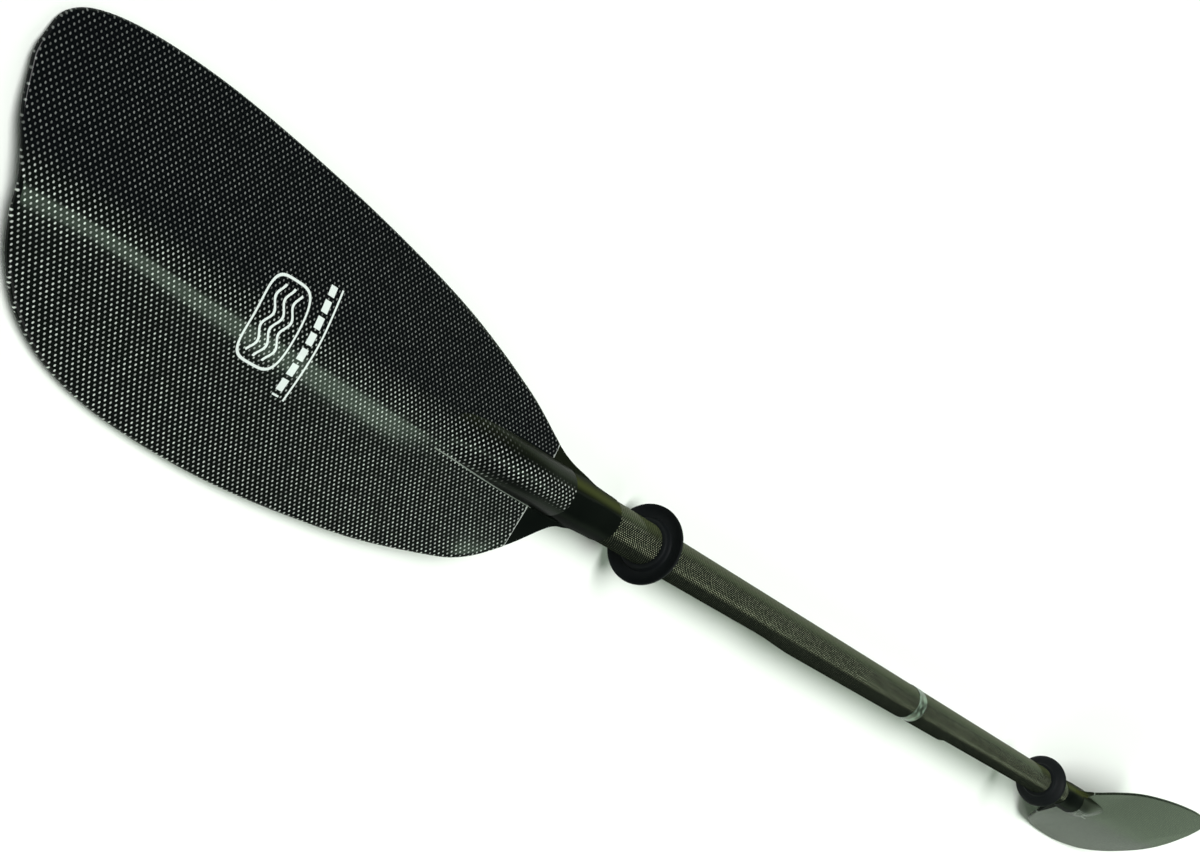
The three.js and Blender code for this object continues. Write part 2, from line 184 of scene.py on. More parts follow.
def mesh_object(name, verts, faces, uvs, material, sharp=35):
    """A smooth-shaded object from vertices, faces and, for each vertex, its weave coordinates."""
    mesh = bpy.data.meshes.new(name)
    mesh.from_pydata([tuple(v) for v in verts], [], faces)
    if uvs is not None:
        layer = mesh.uv_layers.new(name="weave")
        index = np.zeros(len(mesh.loops), int)
        mesh.loops.foreach_get("vertex_index", index)
        layer.data.foreach_set("uv", np.array(uvs)[index].ravel())
    piece = bpy.data.objects.new(name, mesh)
    bpy.context.scene.collection.objects.link(piece)
    mesh.materials.append(material)
    tidy = bmesh.new()
    tidy.from_mesh(mesh)
    bmesh.ops.recalc_face_normals(tidy, faces=tidy.faces)
    tidy.to_mesh(mesh)
    tidy.free()
    mesh.set_sharp_from_angle(angle=math.radians(sharp))
    mesh.polygons.foreach_set("use_smooth", [True] * len(mesh.polygons))
    return piece


def grid_faces(rows, columns, offset=0, close=False):
    faces = []
    span = columns if close else columns - 1
    for i in range(rows - 1):
        for j in range(span):
            k = (j + 1) % columns
            faces.append((offset + i * columns + j, offset + i * columns + k,
                          offset + (i + 1) * columns + k, offset + (i + 1) * columns + j))
    return faces


def loft_faces(rows, loop):
    """The faces of a closed loop carried through rows, with its two ends closed."""
    last = (rows - 1) * loop
    first_end = tuple(range(loop))
    last_end = tuple(range(last + loop - 1, last - 1, -1))
    return grid_faces(rows, loop, close=True) + [first_end, last_end]


def dress(piece, body, node):
    """Let a piece ride a body and take the place of a CAD node, which it hides."""
    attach(piece, body)
    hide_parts(node)


def turned(name, profile, material, sides=96):
    """A solid of revolution about X from a closed list of (x, radius), with weave coordinates."""
    verts, uvs = [], []
    angles = np.linspace(0, 2 * math.pi, sides, endpoint=False)
    for x, r in profile:
        for angle in angles:
            verts.append((x, r * math.cos(angle), r * math.sin(angle)))
            uvs.append((x, angle * SHAFT_R))
    faces = grid_faces(len(profile), sides, close=True)
    last = (len(profile) - 1) * sides
    for j in range(sides):
        k = (j + 1) % sides
        faces.append((last + j, last + k, k, j))
    return mesh_object(name, verts, faces, uvs, material)


# ---- materials -------------------------------------------------------------------------------


class Nodes:
    """A small helper that writes a material's node tree."""

    def __init__(self, name):
        self.material = bpy.data.materials.new(name)
        self.material.use_nodes = True
        self.tree = self.material.node_tree
        self.shader = self.tree.nodes["Principled BSDF"]

    def add(self, kind, **settings):
        node = self.tree.nodes.new(kind)
        for key, value in settings.items():
            setattr(node, key, value)
        return node

    def link(self, source, target):
        self.tree.links.new(source, target)

    def math(self, operation, a, b=None, clamp=False):
        node = self.add("ShaderNodeMath", operation=operation, use_clamp=clamp)
        for socket, value in zip(node.inputs, (a, b)):
            if value is None:
                continue
            if isinstance(value, (int, float)):
                socket.default_value = value
            else:
                self.link(value, socket)
        return node.outputs[0]

    def blend(self, share, low, high):
        node = self.add("ShaderNodeMix", data_type="RGBA")
        self.fill(node.inputs["Factor"], share)
        self.fill(node.inputs["A"], low)
        self.fill(node.inputs["B"], high)
        return node.outputs["Result"]

    def fill(self, socket, value):
        if isinstance(value, (int, float)):
            socket.default_value = value
        elif isinstance(value, tuple):
            socket.default_value = (*value, 1.0)
        else:
            self.link(value, socket)

    def ramp(self, share, low, high):
        """0 below low, 1 above high, and smooth between."""
        node = self.add("ShaderNodeMapRange", interpolation_type="SMOOTHSTEP")
        self.link(share, node.inputs["Value"])
        node.inputs["From Min"].default_value = low
        node.inputs["From Max"].default_value = high
        return node.outputs["Result"]

    def curve(self, place, stops):
        """A smooth value along a place in metres, from (place, value) stops in rising order."""
        value = stops[0][1]
        for (low, before), (high, after) in zip(stops, stops[1:]):
            step = self.math("MULTIPLY", self.ramp(place, low, high), after - before)
            value = self.math("ADD", step, value)
        return value

    def noise(self, vector, scale, detail=2.0, roughness=0.5):
        node = self.add("ShaderNodeTexNoise")
        node.inputs["Scale"].default_value = scale
        node.inputs["Detail"].default_value = detail
        node.inputs["Roughness"].default_value = roughness
        self.link(vector, node.inputs["Vector"])
        return node.outputs["Fac"]

    def bump(self, height, strength, distance):
        node = self.add("ShaderNodeBump")
        node.inputs["Strength"].default_value = strength
        node.inputs["Distance"].default_value = distance
        self.link(height, node.inputs["Height"])
        return node.outputs["Normal"]

    def place(self):
        return self.add("ShaderNodeTexCoord").outputs["Object"]

    def weave_place(self):
        node = self.add("ShaderNodeUVMap", uv_map="weave")
        split = self.add("ShaderNodeSeparateXYZ")
        self.link(node.outputs["UV"], split.inputs[0])
        return node.outputs["UV"], split.outputs["X"], split.outputs["Y"]


def set_shader(shader, **values):
    """Set constant values on a shader's sockets, by short names."""
    names = {"specular": "Specular IOR Level", "coat": "Coat Weight", "coat_roughness": "Coat Roughness"}
    for key, value in values.items():
        socket = shader.inputs[names.get(key, key.capitalize())]
        socket.default_value = value


def plain_weave(n, along, across, pitch):
    """Plain-weave cloth: the share of warp and of weft on top, each a rounded cell."""
    wave = n.math("MULTIPLY", n.math("SINE", n.math("MULTIPLY", along, math.pi / pitch[0])),
                  n.math("SINE", n.math("MULTIPLY", across, math.pi / pitch[1])))
    warp = n.math("POWER", n.math("MAXIMUM", wave, 0.0), 0.75)
    weft = n.math("POWER", n.math("MAXIMUM", n.math("MULTIPLY", wave, -1.0), 0.0), 0.75)
    return warp, weft


def cell_noise(n, along, across, pitch):
    """A random value for each crossing of the weave."""
    cell = n.add("ShaderNodeCombineXYZ")
    n.link(n.math("FLOOR", n.math("DIVIDE", along, pitch[0])), cell.inputs[0])
    n.link(n.math("FLOOR", n.math("DIVIDE", across, pitch[1])), cell.inputs[1])
    node = n.add("ShaderNodeTexWhiteNoise", noise_dimensions="3D")
    n.link(cell.outputs[0], node.inputs["Vector"])
    return node.outputs["Value"]


def carbon(name, pitch, tones, painted_glint_stops, coat=0.22, decal=False, root=False, tube=False, outer_painted_glint_stops=None):
    """Clear-coated plain-weave carbon: dark tows with a painted highlight, pale glints painted at the warp
    crossings.

    The glint stops list (place across, strength of the painted glints); the place is the cloth's, or on a
    tube its Y, so one side is painted brighter than the other, as the light falls.
    The outer glint stops take over towards the spine's outer end.
    """
    n = Nodes(name)
    vector, along, across = n.weave_place()
    split = n.add("ShaderNodeSeparateXYZ")
    n.link(n.place(), split.inputs[0])
    warp, weft = plain_weave(n, along, across, pitch)
    speckle = cell_noise(n, along, across, pitch)
    broad = n.noise(vector, 9.0, detail=3.0)
    lively = n.math("MULTIPLY", n.math("ADD", n.math("MULTIPLY", speckle, 0.8), 0.45),
                    n.math("ADD", n.math("MULTIPLY", broad, 0.7), 0.65))
    place = split.outputs["Y"] if tube else across
    painted_glint_level = n.curve(place, painted_glint_stops)
    if outer_painted_glint_stops:
        out = n.math("SUBTRACT", n.math("ABSOLUTE", split.outputs["X"]), RING_X)
        share = n.ramp(out, 185 * MM, 245 * MM)
        change = n.math("SUBTRACT", n.curve(place, outer_painted_glint_stops), painted_glint_level)
        painted_glint_level = n.math("ADD", painted_glint_level, n.math("MULTIPLY", share, change))
    # Painted highlight: the pale glints are painted into the colour, as strong as the stops give for each
    # place across.
    painted_glint = n.math("MULTIPLY", n.ramp(warp, 0.5, 0.95), n.math("MULTIPLY", lively, painted_glint_level), clamp=True)
    # Painted light and shade: the ground turns from the low tone to the high tone towards the +Y side (the +w
    # side on a blade), as the light falls.
    painted_side_light = n.ramp(place, 4 * MM, 14 * MM)
    ground = n.blend(painted_side_light, tones["low"], tones["high"])
    colour = n.blend(n.math("MULTIPLY", n.ramp(weft, 0.1, 0.9), 0.5), ground, tones["weft"])
    colour = n.blend(painted_glint, colour, tones["warp"])
    metal = n.math("MULTIPLY", painted_glint, 0.5)
    if root:
        frayed = n.math("SUBTRACT", n.math("ABSOLUTE", split.outputs["X"]), RING_X + BLADE_ROOT)
        frayed = n.math("SUBTRACT", frayed, n.math("MULTIPLY", speckle, 1.0 * MM))
        fringe = n.math("SUBTRACT", 1.0, n.ramp(frayed, 0.1 * MM, 0.6 * MM))
        colour = n.blend(n.math("MULTIPLY", fringe, 0.7), colour, (0.5, 0.54, 0.5))
    if decal:
        mark = badge(n, split.outputs["X"], split.outputs["Y"])
        colour = n.blend(mark, colour, (0.66, 0.72, 0.69))
        metal = n.math("MULTIPLY", metal, n.math("SUBTRACT", 1.0, mark))
    n.link(colour, n.shader.inputs["Base Color"])
    n.link(metal, n.shader.inputs["Metallic"])
    height = n.math("ADD", warp, n.math("MULTIPLY", weft, 0.8))
    n.link(n.bump(height, 0.3, 0.12 * MM), n.shader.inputs["Normal"])
    scuffs = n.noise(vector, 160.0, detail=4.0)
    n.link(n.math("ADD", n.math("MULTIPLY", scuffs, 0.12), 0.03), n.shader.inputs["Coat Roughness"])
    set_shader(n.shader, roughness=0.42, coat=coat, specular=0.0 if tube else 0.03)
    if tube:
        varnish = n.math("MULTIPLY", n.ramp(place, -5 * MM, 4 * MM), coat)
        n.link(varnish, n.shader.inputs["Coat Weight"])
    return n.material


DECAL_U = 392 * MM + RING_X


def badge(n, along, across):
    """A generic printed mark: a rounded plate outline with three ripples, and two plain bars."""
    u = n.math("SUBTRACT", n.math("ABSOLUTE", along), DECAL_U)

    def band(value, centre, half):
        gap = n.math("ABSOLUTE", n.math("SUBTRACT", value, centre))
        return n.math("SUBTRACT", 1.0, n.ramp(gap, half - 0.1 * MM, half + 0.1 * MM))

    def plate(half_long, half_wide, power=4.0):
        long_gap = n.math("ABSOLUTE", n.math("SUBTRACT", u, 24 * MM))
        wide_gap = n.math("ABSOLUTE", across)
        a = n.math("POWER", n.math("DIVIDE", long_gap, half_long), power)
        b = n.math("POWER", n.math("DIVIDE", wide_gap, half_wide), power)
        return n.math("SUBTRACT", 1.0, n.ramp(n.math("ADD", a, b), 0.97, 1.03))

    outer = plate(17 * MM, 24 * MM)
    inner = plate(15.6 * MM, 22.6 * MM)
    ring = n.math("SUBTRACT", outer, inner, clamp=True)
    ripple = n.math("MULTIPLY", n.math("SINE", n.math("MULTIPLY", across, 2 * math.pi / (16 * MM))), 2.0 * MM)
    wavy = n.math("ADD", u, ripple)
    waves = n.math("MAXIMUM", band(wavy, 17 * MM, 0.9 * MM), band(wavy, 24 * MM, 0.9 * MM))
    waves = n.math("MAXIMUM", waves, band(wavy, 31 * MM, 0.9 * MM))
    waves = n.math("MULTIPLY", waves, plate(12.6 * MM, 19.5 * MM))
    dashes = n.math("SINE", n.math("MULTIPLY", across, 2 * math.pi / (9 * MM)))
    bars = n.math("MULTIPLY", band(u, -3 * MM, 2.6 * MM), band(across, 0.0, 31.5 * MM))
    bars = n.math("MULTIPLY", bars, n.ramp(dashes, -0.75, -0.6))
    line = n.math("MULTIPLY", band(u, -10 * MM, 0.7 * MM), band(across, 0.0, 32 * MM))
    return n.math("MAXIMUM", n.math("MAXIMUM", ring, waves), n.math("MAXIMUM", bars, line), clamp=True)


def gloss_black():
    """Smooth black moulding, with an olive highlight painted along its upper side."""
    n = Nodes("moulded_black")
    place = n.place()
    fine = n.noise(place, 900.0, detail=2.0)
    broad = n.noise(place, 25.0, detail=3.0)
    split = n.add("ShaderNodeSeparateXYZ")
    n.link(place, split.inputs[0])
    # Painted highlight: olive along the +Y side, where the light catches the upper side of the neck.
    painted_flank_highlight = n.curve(split.outputs["Y"], [(6 * MM, 0.0), (11 * MM, 1.0), (16 * MM, 0.1)])
    dark = n.blend(broad, (0.002, 0.003, 0.0025), (0.006, 0.008, 0.006))
    n.link(n.blend(painted_flank_highlight, dark, (0.034, 0.04, 0.011)), n.shader.inputs["Base Color"])
    n.link(n.math("ADD", n.math("MULTIPLY", broad, 0.12), 0.14), n.shader.inputs["Roughness"])
    n.link(n.bump(fine, 0.05, 0.05 * MM), n.shader.inputs["Normal"])
    set_shader(n.shader, coat=0.04, coat_roughness=0.1, specular=0.0)
    return n.material


def rubber():
    """Dusty black rubber with a fine grain."""
    n = Nodes("ring_rubber")
    place = n.place()
    grain = n.noise(place, 1400.0, detail=3.0)
    dust = n.noise(place, 60.0, detail=4.0)
    n.link(n.blend(dust, (0.0015, 0.0025, 0.003), (0.005, 0.006, 0.007)), n.shader.inputs["Base Color"])
    n.link(n.math("ADD", n.math("MULTIPLY", dust, 0.2), 0.52), n.shader.inputs["Roughness"])
    n.link(n.bump(grain, 0.12, 0.08 * MM), n.shader.inputs["Normal"])
    set_shader(n.shader, specular=0.1)
    return n.material


def tinted_plastic(name, low, high, roughness, patchy=False):
    """Plastic that runs between two colours in soft clouds, or in clear patches."""
    n = Nodes(name)
    place = n.place()
    flow = n.noise(place, 140.0, detail=3.0)
    if patchy:
        flow = n.ramp(flow, 0.42, 0.62)
    grain = n.noise(place, 1800.0)
    n.link(n.blend(flow, low, high), n.shader.inputs["Base Color"])
    n.link(n.math("ADD", n.math("MULTIPLY", flow, 0.12), roughness), n.shader.inputs["Roughness"])
    n.link(n.bump(grain, 0.08, 0.05 * MM), n.shader.inputs["Normal"])
    set_shader(n.shader, specular=0.3)
    return n.material


def foam():
    """Pale closed-cell foam."""
    n = Nodes("core_foam")
    cells = n.add("ShaderNodeTexVoronoi")
    cells.inputs["Scale"].default_value = 900.0
    n.link(n.place(), cells.inputs["Vector"])
    colour = n.blend(cells.outputs["Distance"], (0.5, 0.46, 0.34), (0.78, 0.74, 0.6))
    n.link(colour, n.shader.inputs["Base Color"])
    n.link(n.bump(cells.outputs["Distance"], 0.4, 0.2 * MM), n.shader.inputs["Normal"])
    set_shader(n.shader, roughness=0.9)
    return n.material


def steel():
    """Steel brushed along X."""
    n = Nodes("spring_steel")
    streak = n.add("ShaderNodeMapping")
    streak.inputs["Scale"].default_value = (60.0, 2500.0, 2500.0)
    n.link(n.place(), streak.inputs["Vector"])
    brushed = n.noise(streak.outputs[0], 1.0, detail=4.0)
    n.link(n.blend(brushed, (0.42, 0.43, 0.44), (0.62, 0.63, 0.64)), n.shader.inputs["Base Color"])
    n.link(n.math("ADD", n.math("MULTIPLY", brushed, 0.25), 0.2), n.shader.inputs["Roughness"])
    set_shader(n.shader, metallic=1.0)
    return n.material


BLADE_PITCH = (1.98 * MM, 2.11 * MM)
SHAFT_PITCH = (1.3 * MM, 1.3 * MM)
# Tones: 'low' is the ground; 'high' the ground painted on the +Y side (+w on a blade) as painted light and
# shade; 'weft' the weft tows; 'warp' the colour of the painted glints, a painted highlight.
BLADE_TONES = {"low": (0.001, 0.0018, 0.0013), "high": (0.0008, 0.0013, 0.002),
               "weft": (0.004, 0.005, 0.0048), "warp": (0.75, 0.79, 0.75)}
SHAFT_TONES = {"low": (0.005, 0.0065, 0.0055), "high": (0.042, 0.05, 0.022),
               "weft": (0.006, 0.008, 0.004), "warp": (0.75, 0.82, 0.55)}
# Strengths of the painted glints across each piece, painted brighter where light falls: the blade's lower
# lobe and ridge, a band along the spine, a streak along the shaft, the far blade's short side.
BLADE_PAINTED_GLINT = [(-90 * MM, 0.85), (-40 * MM, 0.7), (-26 * MM, 0.55), (-3 * MM, 0.8), (14 * MM, 0.22),
             (85 * MM, 0.18)]
SPINE_PAINTED_GLINT = [(-10 * MM, 0.0), (-5 * MM, 0.9), (3 * MM, 0.9), (8 * MM, 0.0)]
SHAFT_PAINTED_GLINT = [(-8 * MM, 0.1), (-4.5 * MM, 1.0), (-2 * MM, 0.55), (4 * MM, 0.5), (9 * MM, 0.1)]
FAR_PAINTED_GLINT = [(-60 * MM, 0.3), (10 * MM, 0.16)]
# The spine's and the far blade's 'high' tones and the far blade's 'warp' tone are painted light, in olive and
# green.
SPINE_TONES = {**BLADE_TONES, "high": (0.005, 0.0065, 0.0025)}
FAR_TONES = {**BLADE_TONES, "high": (0.002, 0.0035, 0.0018), "warp": (0.6, 0.8, 0.5)}
MARKED_FACE = carbon("marked_carbon", BLADE_PITCH, BLADE_TONES, BLADE_PAINTED_GLINT, decal=True, root=True)
BLADE_CARBON = carbon("blade_carbon", BLADE_PITCH, BLADE_TONES, BLADE_PAINTED_GLINT, root=True)
FAR_CARBON = carbon("far_carbon", BLADE_PITCH, FAR_TONES, FAR_PAINTED_GLINT, coat=0.13, root=True)
SPINE_CARBON = carbon("spine_carbon", BLADE_PITCH, SPINE_TONES, SPINE_PAINTED_GLINT, coat=0.04, outer_painted_glint_stops=BLADE_PAINTED_GLINT)
SHAFT_CARBON = carbon("shaft_carbon", SHAFT_PITCH, SHAFT_TONES, SHAFT_PAINTED_GLINT, coat=0.14, tube=True)
BLACK = gloss_black()
RUBBER = rubber()
COLLAR_PLASTIC = tinted_plastic("collar_plastic", (0.012, 0.018, 0.01), (0.15, 0.21, 0.16), 0.3, patchy=True)
DARK_PLASTIC = tinted_plastic("ferrule_plastic", (0.02, 0.022, 0.022), (0.04, 0.043, 0.042), 0.35)
RESIN = tinted_plastic("seam_resin", (0.1, 0.12, 0.1), (0.3, 0.34, 0.3), 0.3)
FOAM = foam()
STEEL = steel()

# ---- the pieces ------------------------------------------------------------------------------
# Pieces of a blade are made for the left end, and turned into the right end's by placed().


def placed(verts, side):
    """Left-end points as they stand at the left or, mirrored and feathered, at the right."""
    points = np.array(verts, float)
    if side == "left":
        return points
    points[:, 0] *= -1
    y, z = points[:, 1].copy(), points[:, 2].copy()
    points[:, 1] = y * math.cos(FEATHER) - z * math.sin(FEATHER)
    points[:, 2] = y * math.sin(FEATHER) + z * math.cos(FEATHER)
    return points


def blade_patch():
    """The blade's plan, as grids of u and w, inside its four sides."""
    long_side = spline(LONG_EDGE) * MM
    short_side = spline(SHORT_EDGE) * MM
    turn_long = long_side[np.argmin(np.abs(long_side[:, 0] - 592 * MM))][0]
    turn_short = 500 * MM
    side_high = long_side[(long_side[:, 0] >= BLADE_ROOT) & (long_side[:, 0] <= turn_long)]
    side_low = short_side[(short_side[:, 0] >= BLADE_ROOT) & (short_side[:, 0] <= turn_short)]
    tip = np.vstack([short_side[short_side[:, 0] >= turn_short],
                     long_side[long_side[:, 0] >= turn_long][::-1]])
    side_low = np.vstack([[BLADE_ROOT, np.interp(BLADE_ROOT, short_side[:, 0], short_side[:, 1])], side_low])
    side_high = np.vstack([[BLADE_ROOT, np.interp(BLADE_ROOT, long_side[:, 0], long_side[:, 1])], side_high])
    side_low = np.vstack([side_low, tip[0]])
    side_high = np.vstack([side_high, tip[-1]])
    tip_steps = np.array([0.02, 0.012, 0.006, 0.003, 0.0015, 0.0006, 0])
    along = np.concatenate([np.linspace(0, 0.97, 110), 1 - tip_steps])
    near_edge = np.array([0, 0.0008, 0.002, 0.004, 0.007, 0.012, 0.02])
    across = np.concatenate([near_edge, np.linspace(0.03, 0.97, 76), 1 - near_edge[::-1]])

    def resample(curve, shares):
        steps = np.linalg.norm(np.diff(curve, axis=0), axis=1)
        length = np.concatenate([[0], np.cumsum(steps)])
        wanted = shares * length[-1]
        return np.stack([np.interp(wanted, length, curve[:, k]) for k in (0, 1)], -1)

    low, high = resample(side_low, along), resample(side_high, along)
    root = resample(np.array([side_low[0], side_high[0]]), across)
    end = resample(tip, across)
    a, b = along[:, None, None], across[None, :, None]
    ruled_a = mix(low[:, None], high[:, None], b)
    ruled_b = mix(root[None], end[None], a)
    corners = mix(mix(root[0], root[-1], b), mix(end[0], end[-1], b), a)
    patch = ruled_a + ruled_b - corners
    return patch[..., 0], patch[..., 1]


PLAN_U, PLAN_W = blade_patch()
PLAN_HALF_T = half_thickness(PLAN_U, PLAN_W)
PLAN_MIDDLE = blade_middle(PLAN_U, PLAN_W)


def blade_sheet(name, side, u, w, outer, inner, material):
    """A closed sheet of the blade between two heights, given on a grid of u and w."""
    rows, columns = u.shape
    verts, uvs = [], []
    for height in (outer, inner):
        verts += np.stack([-(RING_X + u), w, height], -1).reshape(-1, 3).tolist()
        uvs += np.stack(cloth_place(u, w), -1).reshape(-1, 2).tolist()
    total = rows * columns
    faces = grid_faces(rows, columns) + grid_faces(rows, columns, offset=total)
    rim = [i * columns for i in range(rows)]
    rim += [(rows - 1) * columns + j for j in range(1, columns)]
    rim += [i * columns + columns - 1 for i in range(rows - 2, -1, -1)]
    rim += list(range(columns - 2, 0, -1))
    for a, b in zip(rim, rim[1:] + rim[:1]):
        faces.append((a, b, b + total, a + total))
    piece = mesh_object(name, placed(verts, side), faces, uvs, material)
    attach(piece, f"{side}_half")
    return piece


def blade_skin(side, which, material):
    """One skin of the blade: its outside ends in the rounded edge, its inside lies SKIN_T behind."""
    sign = 1 if which == "face" else -1
    outer = PLAN_MIDDLE + sign * PLAN_HALF_T
    inner = PLAN_MIDDLE + sign * np.maximum(0.04 * MM, PLAN_HALF_T - SKIN_T)
    piece = blade_sheet(f"{side}_blade_{which}_skin", side, PLAN_U, PLAN_W, outer, inner, material)
    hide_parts(f"{side}_blade_{which}")


def blade_foam(side):
    """The foam core between the skins, stopping short of the blade's edge."""
    inside = (slice(6, -14), slice(12, -12))
    middle = PLAN_MIDDLE[inside]
    half = PLAN_HALF_T[inside] - SKIN_T - 0.05 * MM
    u, w = PLAN_U[inside], PLAN_W[inside]
    piece = blade_sheet(f"{side}_blade_foam", side, u, w, middle + half, middle - half, FOAM)
    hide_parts(f"{side}_blade_core")


def spine_piece(side):
    """The rounded spine: the shaft's end under blade cloth, sinking into both faces."""
    across = np.sin(np.linspace(-math.pi / 2, math.pi / 2, 33))
    rows = np.concatenate([[SPINE_START], np.linspace(SPINE_FULL - 18 * MM, SPINE_END, 60)])
    verts, uvs = [], []
    for u in rows:
        sink = float(smoothstep(u, SPINE_FULL, SPINE_END))
        width = mix(SPINE_R, SPINE_END_R, sink ** 2)
        proud = mix(SPINE_R, RIDGE_T / 2 - 0.4 * MM, sink)
        base = float(blade_middle(u, 0.0)) * sink
        arch = proud * np.sqrt(np.maximum(0, 1 - across ** 2))
        round_up = list(zip(width * across, base + arch))
        round_down = list(zip(width * across, base - arch))[::-1][1:-1]
        for w, z in round_up + round_down:
            verts.append((-(RING_X + u), w, z))
            uvs.append(cloth_place(u, w))
    faces = loft_faces(len(rows), len(round_up) + len(round_down))
    piece = mesh_object(f"{side}_spine_cloth", placed(verts, side), faces, uvs, SPINE_CARBON)
    dress(piece, f"{side}_half", f"{side}_spine")


def seam_bead(side):
    """The thin bead of resin along the lower edge of the spine's cloth."""
    radius, sides = 0.4 * MM, 8
    us = np.linspace(146 * MM, SPINE_END - 3 * MM, 60)
    sink = smoothstep(us, SPINE_FULL, SPINE_END)
    ws = -mix(SPINE_R, SPINE_END_R, sink ** 2)
    zs = blade_middle(us, ws) + half_thickness(us, ws)
    verts = []
    angles = np.linspace(0, 2 * math.pi, sides, endpoint=False)
    for u, w, z in zip(us, ws, zs):
        for angle in angles:
            verts.append((-(RING_X + u), w + radius * math.cos(angle), z + radius * math.sin(angle)))
    faces = loft_faces(len(us), sides)
    piece = mesh_object(f"{side}_spine_seam", placed(verts, side), faces, None, RESIN)
    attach(piece, f"{side}_half")


def throat_piece(side):
    """The moulded throat: a round neck with a thin web that flares to the blade's root."""
    rows = np.linspace(THROAT_START, BLADE_ROOT, 50)
    shares = np.concatenate([np.linspace(-1, -0.02, 34), np.linspace(0, 1, 30)])
    verts = []
    for u in rows:
        spread = float(smoothstep(u, THROAT_START + 22 * MM, BLADE_ROOT))
        neck = mix(15.5 * MM, SPINE_R - 0.1 * MM, float(smoothstep(u, THROAT_START, 110 * MM)))
        low = max(neck, -float(edge_at(SHORT_EDGE, u)) if u > 100 * MM else 0)
        high = max(neck, float(edge_at(LONG_EDGE, u)) if u > 100 * MM else 0)
        top, bottom = [], []
        for share in shares:
            w = share * (low if share < 0 else high)
            round_part = math.sqrt(max(0.0, neck ** 2 - w ** 2))
            fringe = min(low + w, high - w)
            web = EDGE_T / 2 * math.sqrt(max(0.0, 1 - max(0.0, 1 - fringe / (1.5 * MM)) ** 2))
            fillet = 3.5 * MM
            blend = max(0.0, 1 - abs(round_part - web) / fillet)
            rise = max(round_part, web) + blend ** 2 * fillet / 4
            if fringe < 0.02 * MM:
                rise = 0.02 * MM
            base = float(blade_middle(u, w)) * spread
            top.append((-(RING_X + u), w, base + rise))
            bottom.append((-(RING_X + u), w, base - rise))
        verts += top + bottom[::-1]
    faces = loft_faces(len(rows), 2 * len(shares))
    piece = mesh_object(f"{side}_throat_fairing", placed(verts, side), faces, None, BLACK, sharp=50)
    dress(piece, f"{side}_half", f"{side}_throat")


def cut_index_holes(piece):
    """Cut the button's holes, one for each feather setting, through a piece of the right half."""
    cutters = []
    for setting in range(-FEATHER_MAX, FEATHER_MAX + 1, FEATHER_STEP):
        angle = FEATHER - math.radians(setting)
        towards = Vector((0, math.sin(angle), -math.cos(angle)))
        mesh = bpy.data.meshes.new("hole_cutter")
        drill = bmesh.new()
        bmesh.ops.create_cone(drill, cap_ends=True, segments=32, radius1=BUTTON_HOLE_R,
                              radius2=BUTTON_HOLE_R, depth=12 * MM)
        drill.to_mesh(mesh)
        drill.free()
        cutter = bpy.data.objects.new("hole_cutter", mesh)
        bpy.context.scene.collection.objects.link(cutter)
        centre = Vector((BUTTON_X, 0, 0)) + towards * SHAFT_R
        turn = towards.to_track_quat("Z", "Y").to_matrix()
        cutter.matrix_world = Matrix.Translation(centre) @ turn.to_4x4()
        cut = piece.modifiers.new("hole", "BOOLEAN")
        cut.operation = "DIFFERENCE"
        cut.object = cutter
        cutters.append(cutter)
    bpy.context.view_layer.update()
    finished = piece.evaluated_get(bpy.context.evaluated_depsgraph_get())
    mesh = bpy.data.meshes.new_from_object(finished)
    piece.modifiers.clear()
    piece.data = mesh
    mesh.set_sharp_from_angle(angle=math.radians(35))
    for cutter in cutters:
        bpy.data.objects.remove(cutter)


def shaft_tube(name, node, body, x0, x1):
    """A carbon tube between two places along X, with its lips rounded."""
    lip = 0.3 * MM
    stretch = [(x, SHAFT_R) for x in np.linspace(x0 + lip, x1 - lip, 60)]
    profile = [(x0, BORE_R), (x0, SHAFT_R - lip)] + stretch + [(x1, SHAFT_R - lip), (x1, BORE_R)]
    piece = turned(name, profile, SHAFT_CARBON)
    if body == "right_half":
        cut_index_holes(piece)
    dress(piece, body, node)


def index_pad(name, node, body, x0, x1, rise_at):
    """A stretch of the oval index: a crescent on the shaft's -Y side, its crown's rise given by x."""
    bed = SHAFT_R + 0.05 * MM
    verts, uvs = [], []
    angles = np.linspace(-INDEX_SPREAD, INDEX_SPREAD, 49)
    stations = np.concatenate([x0 + (x1 - x0) * np.array([0, 0.001, 0.003]), np.linspace(x0, x1, 80)[1:-1],
                               x1 - (x1 - x0) * np.array([0.006, 0.003, 0])])
    for x in stations:
        crown = rise_at(x)
        outer = [bed + 0.05 * MM + crown * math.cos(a / INDEX_SPREAD * math.pi / 2) ** 2 for a in angles]
        loop = list(zip(outer, angles)) + [(bed - 0.02 * MM, a) for a in angles[::-1]]
        for r, a in loop:
            verts.append((x, -r * math.cos(a), r * math.sin(a)))
            uvs.append((x, a * SHAFT_R))
    faces = loft_faces(len(stations), 2 * len(angles))
    piece = mesh_object(name, verts, faces, uvs, SHAFT_CARBON)
    if body == "right_half":
        cut_index_holes(piece)
    dress(piece, body, node)


def oval_index():
    """The oval index: it fades in along the left shaft and ends in a step on the right half."""
    fade = 70 * MM
    index_pad("grip_index_pad", "grip_index", "left_half", *GRIP,
              lambda x: INDEX_RISE * float(smoothstep(x, GRIP[0], GRIP[0] + fade)))
    end = JOINT_INDEX[1]
    index_pad("joint_index_pad", "joint_index", "right_half", *JOINT_INDEX,
              lambda x: INDEX_RISE * mix(1, 0.6, float(smoothstep(x, end - 0.7 * MM, end))))


